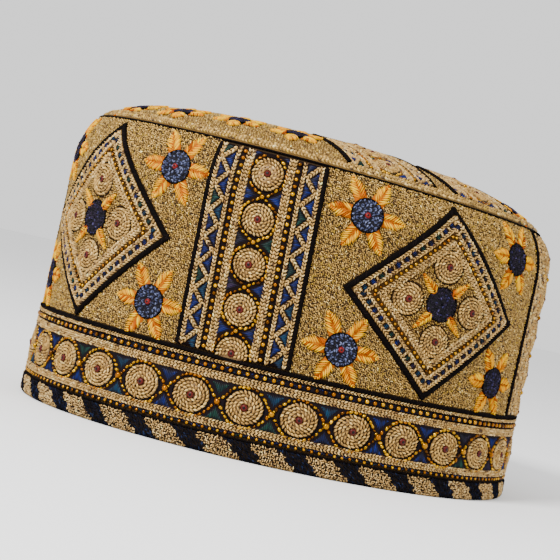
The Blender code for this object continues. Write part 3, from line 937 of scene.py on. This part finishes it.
def diamond(place, lift=PAD_LIFT, pitch=DIAMOND_PITCH):
    """The embroidery of one diamond, from its black edge in to its middle."""
    corners = np.array([(1, 0), (0, 1), (-1, 0), (0, -1), (1, 0)]) * (DIAMOND_HALF_WIDTH, DIAMOND_HALF_HEIGHT)

    def line(inward):
        points = corners * (1 - inward / DIAMOND_REACH)
        share = np.linspace(0, 4, 201)
        return (np.interp(share, range(5), points[:, axis]) for axis in (0, 1))

    def slanting(rising, falling):
        return place((rising - falling) * DIAMOND_HALF_WIDTH, (rising + falling - 1) * DIAMOND_HALF_HEIGHT)

    entries = [pad(slanting, 0.02, 0.98, 0.02, 0.98, lift, DIAMOND_BROWN)]
    edge = corners * (1 - DIAMOND_CORD / DIAMOND_REACH)
    for first, second in zip(edge[:-1], edge[1:]):
        beyond = unit(second - first) * 0.9
        (low_a, low_b), (high_a, high_b) = first - beyond, second + beyond
        entries += cord(place, np.linspace(low_a, high_a, 50), np.linspace(low_b, high_b, 50), **BROAD_CORD)
    for inward in DIAMOND_BRAIDS:
        entries += braid(place, *line(inward), DIAMOND_BRAID_WIDE, lift)
    entries.append(string_of_beads(place, *line(DIAMOND_BEADS), *SMALL_BEADS, lift + 0.2))
    for corner in range(4):
        first, second = corners[corner:corner + 2] * (1 - DIAMOND_SQUARES / DIAMOND_REACH)
        side = second - first
        count = int(np.hypot(*side) / SQUARE_PITCH)
        share = (np.arange(count) + 0.5) / count
        way = math.atan2(side[1], side[0])
        threads = np.linspace(-0.36, 0.36, SQUARE_THREADS) * SQUARE
        a = (first[0] + share * side[0])[:, None] - threads * math.sin(way)
        b = (first[1] + share * side[1])[:, None] + threads * math.cos(way)
        a, b = a.ravel(), b.ravel()
        dyes = silk_shades(count, SQUARE_THREADS, 0.2)
        entries.append(laid(place, a, b, way, SQUARE + 1.2, 0.8, 0.25, lift,
                            shades(BLACK, a.size), black_thread))
        entries.append(laid(place, a, b, way, SQUARE, 0.72, 0.45, lift, dyes, silk))
        share = np.repeat(np.arange(count + 1) / count, 2)
        a, b = first[0] + share * side[0], first[1] + share * side[1]
        turn = way + np.pi / 2 + np.tile([-0.45, 0.45], count + 1)
        entries.append(laid(place, a, b, turn, 2.5, 0.55, 0.6, lift, shades(TAN, len(a), 0.12), tan_thread))
    coil_a, coil_b = DIAMOND_COILS * np.array([(1, 0), (0, 1), (-1, 0), (0, -1)]).T
    a, b = scattered(-24, 24, -24, 24, pitch)
    kept = out_of_diamond(a, b) < 1 - DIAMOND_FIELD / DIAMOND_REACH
    kept &= np.hypot(a, b) > DIAMOND_DISC - 0.1
    for x, y in zip(coil_a, coil_b):
        kept &= np.hypot(a - x, b - y) > SMALL_COIL + 0.9
    entries.append(ground(place, a[kept], b[kept], lift - SINK))
    entries += coils(place, coil_a, coil_b, SMALL_COIL, lift)
    diagonals = np.pi / 4 + np.pi / 2 * np.arange(4)
    entries += petals(place, diagonals, *DIAMOND_PETALS, DIAMOND_PETAL_HALVES, lift + 0.1)
    entries += knotted_disc(place, DIAMOND_DISC, DARK_PURPLE, False, lift)
    return entries


petal_silk = thread("petal_silk", 0.6, shine=0.05)
yarn = thread("knotted_yarn", 0.6, shine=0.12)
for index in range(REPEATS):
    on_diamond = face_at(PATTERN_START + (index + 0.5) * REPEAT, DIAMOND_MIDDLE, corner_drop)
    sew(f"diamond_{index + 1}_embroidery", diamond(on_diamond), "tan_thread", f"diamond_{index + 1}")


# Two flowers stand on each side of every panel: six petals of golden satin stitch round a disc of
# knotted yarn. Those of every other panel have blue-grey discs with a red bead, the rest dark ones.
BLUE_GREY = [
    (0.36, 78, 84, 114), (0.34, 50, 54, 80), (0.24, 22, 20, 32), (0.06, 98, 104, 134),
]


def flower(place, dyes, dot):
    ways = 2 * np.pi / PETALS * np.arange(PETALS)
    entries = petals(place, ways, DISC_RADIUS - 0.6, FLOWER_RADIUS, PETAL_HALVES)
    return entries + knotted_disc(place, DISC_RADIUS - 0.3, dyes, dot)


for index in range(REPEATS):
    dyes, dot = ((BLUE_GREY, True), (DARK_PURPLE, False))[index % 2]
    for side, offset in (("left", -FLOWER_OFFSET), ("right", FLOWER_OFFSET)):
        for row, height in zip(("low", "high"), FLOWER_HEIGHTS):
            on_flower = face_at(PATTERN_START + index * REPEAT + offset, height)
            node = f"flower_{index + 1}_{side}_{row}"
            sew(f"{node}_stitches", flower(on_flower, dyes, dot), "petal_thread", node)


# The crown is an oval of the same cloth, softly domed, turned down to meet the wall. Its outside is
# almost hidden by embroidery, and the cloth there is coloured darker, as painted shade between the
# stitches; its inside is bare.
CROWN_LENGTH, CROWN_WIDTH = 90.5, 76.5  # its half axes
CROWN_EDGE, CROWN_RISE, CROWN_THICKNESS = 108.25, 13.0, 1.8
CROWN_SOFT, CROWN_TURN, EDGE_POWER = 0.9, 0.1, 20  # shares of the fall over the dome and at its edge
CROWN_WEAVE = (2000, 2000)
# darker than the bare cloth: painted shade for the gaps between the stitches
PAINTED_SHADE_CROWN_BACKING = ((122, 92, 40), (84, 60, 24))


def crown(x, y):
    """Spots of the crown's face over these places of the plan, with the ways along, up and out."""
    x, y = np.broadcast_arrays(np.asarray(x, float), y)
    square = np.clip((x / CROWN_LENGTH) ** 2 + (y / CROWN_WIDTH) ** 2, 0, 1)
    height = CROWN_EDGE + CROWN_RISE * (1 - CROWN_SOFT * square**2 - CROWN_TURN * square**EDGE_POWER)
    fall = -2 * CROWN_RISE * (2 * CROWN_SOFT * square + EDGE_POWER * CROWN_TURN * square ** (EDGE_POWER - 1))
    slope_x, slope_y = fall * x / CROWN_LENGTH**2, fall * y / CROWN_WIDTH**2
    one, none = np.ones_like(x), np.zeros_like(x)
    out = unit(np.stack([-slope_x, -slope_y, one], -1))
    ahead = unit(np.stack([one, none, slope_x], -1))
    return leant(np.stack([x, y, height], -1)), ahead, np.cross(out, ahead), out


def around_crown(reach, count):
    turn = np.linspace(0, 2 * np.pi, count)
    return reach * CROWN_LENGTH * np.cos(turn), reach * CROWN_WIDTH * np.sin(turn)


upper, lower = [], []
for reach in np.concatenate([np.linspace(0, 0.9, 13), np.linspace(0.925, 1, 8)]):
    spots, _, _, out = crown(*around_crown(reach, COLUMNS + 1))
    upper.append(spots)
    lower.append(spots - CROWN_THICKNESS * out)
crown_cotton = woven("bare_cotton_crown", CLOTH_LIGHT, CLOTH_DARK, CROWN_WEAVE, "Object")
crown_backing_painted_shade = woven("crown_backing_painted_shade", *PAINTED_SHADE_CROWN_BACKING, CROWN_WEAVE, "Object")
sew("crown_cloth", [
    grid(np.stack(upper), PAINTED_SHADE_BACKING_BROWN, crown_backing_painted_shade),
    grid(np.stack([upper[-1]] + lower[::-1]), BARE_BROWN, crown_cotton),
], "gold_ground", "crown")


# Embroidery covers the crown: a diamond in its middle, two short panels that run out to the front
# edge on the right and two opposite them, dark-centred flowers along the rest, and between them the
# same ground of short threads, with two gold braids round its edge.
CROWN_PITCH = 0.95
CROWN_KEEP = 0.955  # share of the way out to the seam where the embroidery ends
CROWN_BRAIDS, CROWN_BRAID_WIDE = (0.985, 0.968), 1.25  # shares of the way out, and width
STRIP_SIZE, STRIP_LIFT = 0.78, 0.1
STRIP_HALF, STRIP_REACH = 20.8, 40
STRIPS = (  # a spot of each middle line, its way out, and where it starts and has its coiled discs
    (24.0, -66.0, -1.05, -40.0, (14.0, -2.0, -18.0, -34.0)),
    (59.5, -46.5, -0.83, -24.0, (14.0, -2.0, -18.0)),
)
END_CORD = {"wide": 1.6, "high": 1.0, "lift": 0.0, "pitch": 1.2}
CROWN_FLOWERS = ((-72.5, -29.0), (-54.7, -44.0), (-33.4, -51.5), (-11.5, -57.5), (74.0, -26.5))
FLOWER_SIZE, FLOWER_TURN = 0.7, 0.3
CROWN_DIAMOND, CROWN_DIAMOND_LIFT, CROWN_DIAMOND_PITCH = 0.6, 0.3, 1.2


def crown_share(x, y):
    return np.hypot(x / CROWN_LENGTH, y / CROWN_WIDTH)


def turned(x, y, turn, size):
    """A face with its own middle, turn and size on the crown."""
    cos, sin = math.cos(turn), math.sin(turn)

    def face(a, b):
        off_x, off_y = rotated(a * size, b * size, turn)
        spots, ahead, up, out = crown(x + off_x, y + off_y)
        return spots, cos * ahead + sin * up, cos * up - sin * ahead, out

    return face


def on_crown(spots):
    return crown_share(spots[:, 0], spots[:, 1]) < CROWN_KEEP


flowers = [(x * flip, y * flip) for x, y in CROWN_FLOWERS for flip in (1, -1)]
strips = [
    (x * flip, y * flip, way + (0 if flip > 0 else np.pi), inner, middles)
    for x, y, way, inner, middles in STRIPS for flip in (1, -1)
]
a, b = scattered(-CROWN_LENGTH, CROWN_LENGTH, -CROWN_WIDTH, CROWN_WIDTH, CROWN_PITCH)
kept = crown_share(a, b) < CROWN_KEEP
kept &= out_of_diamond(a, b) > CROWN_DIAMOND
for x, y in flowers:
    kept &= ~in_flower((a - x) / FLOWER_SIZE, (b - y) / FLOWER_SIZE)
strip_heap = []
for x, y, way, inner, middles in strips:
    turn = way - np.pi / 2
    face = turned(x, y, turn, STRIP_SIZE)

    def ends(across):
        out = np.linspace(inner, STRIP_REACH, 400)
        off_x, off_y = rotated(across, out, turn)
        inside = crown_share(x + STRIP_SIZE * off_x, y + STRIP_SIZE * off_y) < CROWN_KEEP
        return inner, out[inside].max() if inside.any() else inner + 1

    def on_strip(spots):
        _, outward = rotated(spots[:, 0] - x, spots[:, 1] - y, -turn)
        return on_crown(spots) & (outward > STRIP_SIZE * inner)

    entries = upright_panel(face, ends, middles, STRIP_LIFT)
    across = np.linspace(-PANEL_CLOTH + 0.1, PANEL_CLOTH - 0.1, 40)
    entries += cord(face, across, np.full(40, inner), **END_CORD)
    strip_heap += trimmed(entries, on_strip)
    local_a, local_b = rotated(a - x, b - y, -turn)
    kept &= (np.abs(local_a) > STRIP_SIZE * STRIP_HALF) | (local_b < STRIP_SIZE * inner)
heap = [ground(crown, a[kept], b[kept])]
for reach in CROWN_BRAIDS:
    heap += braid(crown, *around_crown(reach, 400), CROWN_BRAID_WIDE, 0.0, GOLD_GROUND)
sew("crown_stitches", heap, "gold_ground")
sew("crown_strips", strip_heap, "tan_thread")
heap = diamond(turned(0, 0, 0, CROWN_DIAMOND), CROWN_DIAMOND_LIFT, CROWN_DIAMOND_PITCH)
sew("crown_diamond", heap, "tan_thread")
heap = []
for x, y in flowers:
    heap += flower(turned(x, y, FLOWER_TURN, FLOWER_SIZE), DARK_PURPLE, False)
sew("crown_flowers", trimmed(heap, on_crown), "petal_thread")


# The floor and the backdrop are one pale sheet, under soft studio lamps: a broad one high on the
# left, a weaker one on the right, and light from all round. Sizes from here on are in metres.
FLOOR_HALF = 6.0
PAPER, PAPER_ROUGHNESS = (0.9, 0.9, 0.9, 1), 0.9
ROUND_LIGHT, ROUND_POWER = (1, 1, 1, 1), 1.25
LAMP_AIM = Vector((0, 0, 0.06))
LAMPS = (  # place, width and power
    ("key_lamp", (-0.55, -0.8, 0.9), 0.3, 26),
    ("fill_lamp", (0.8, -0.6, 0.5), 0.6, 4),
)

floor_mesh = bpy.data.meshes.new("floor")
floor_corners = [(x * FLOOR_HALF, y * FLOOR_HALF, 0) for x, y in ((-1, -1), (1, -1), (1, 1), (-1, 1))]
floor_mesh.from_pydata(floor_corners, [], [(0, 1, 2, 3)])
floor = bpy.data.objects.new("floor", floor_mesh)
bpy.context.scene.collection.objects.link(floor)
paper, _, _, inputs = new_look("pale_paper")
inputs["Base Color"].default_value = PAPER
inputs["Roughness"].default_value = PAPER_ROUGHNESS
floor_mesh.materials.append(paper)
floor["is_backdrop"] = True

world = bpy.data.worlds.new("studio")
world.use_nodes = True
background = world.node_tree.nodes["Background"].inputs
background["Color"].default_value = ROUND_LIGHT
background["Strength"].default_value = ROUND_POWER
bpy.context.scene.world = world

for name, spot, size, power in LAMPS:
    light = bpy.data.lights.new(name, "AREA")
    light.size = size
    light.energy = power
    lamp = bpy.data.objects.new(name, light)
    bpy.context.scene.collection.objects.link(lamp)
    lamp.location = spot
    lamp.rotation_mode = "QUATERNION"
    lamp.rotation_quaternion = (LAMP_AIM - Vector(spot)).to_track_quat("-Z", "Y")


# The camera stands in front of the cap, a little above the floor and about 60 centimetres away. It is
# rolled, so that the cap seems to tilt down to the right, as the photograph shows it.
LENS, SENSOR = 98.0, 36.0
DISTANCE, EYE = 0.617, 0.0666
ROLL, SWING, NOD = math.radians(12.63), math.radians(0.6), math.radians(0.188)

view = bpy.data.cameras.new("camera")
view.lens, view.sensor_width = LENS, SENSOR
view.clip_start, view.clip_end = 0.05, 30
camera = bpy.data.objects.new("camera", view)
bpy.context.scene.collection.objects.link(camera)
camera.matrix_world = (
    Matrix.Translation((0, -DISTANCE, EYE)) @ Matrix.Rotation(SWING, 4, "Z")
    @ Matrix.Rotation(math.pi / 2 - NOD, 4, "X") @ Matrix.Rotation(ROLL, 4, "Z")
)
bpy.context.scene.camera = camera

low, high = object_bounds()
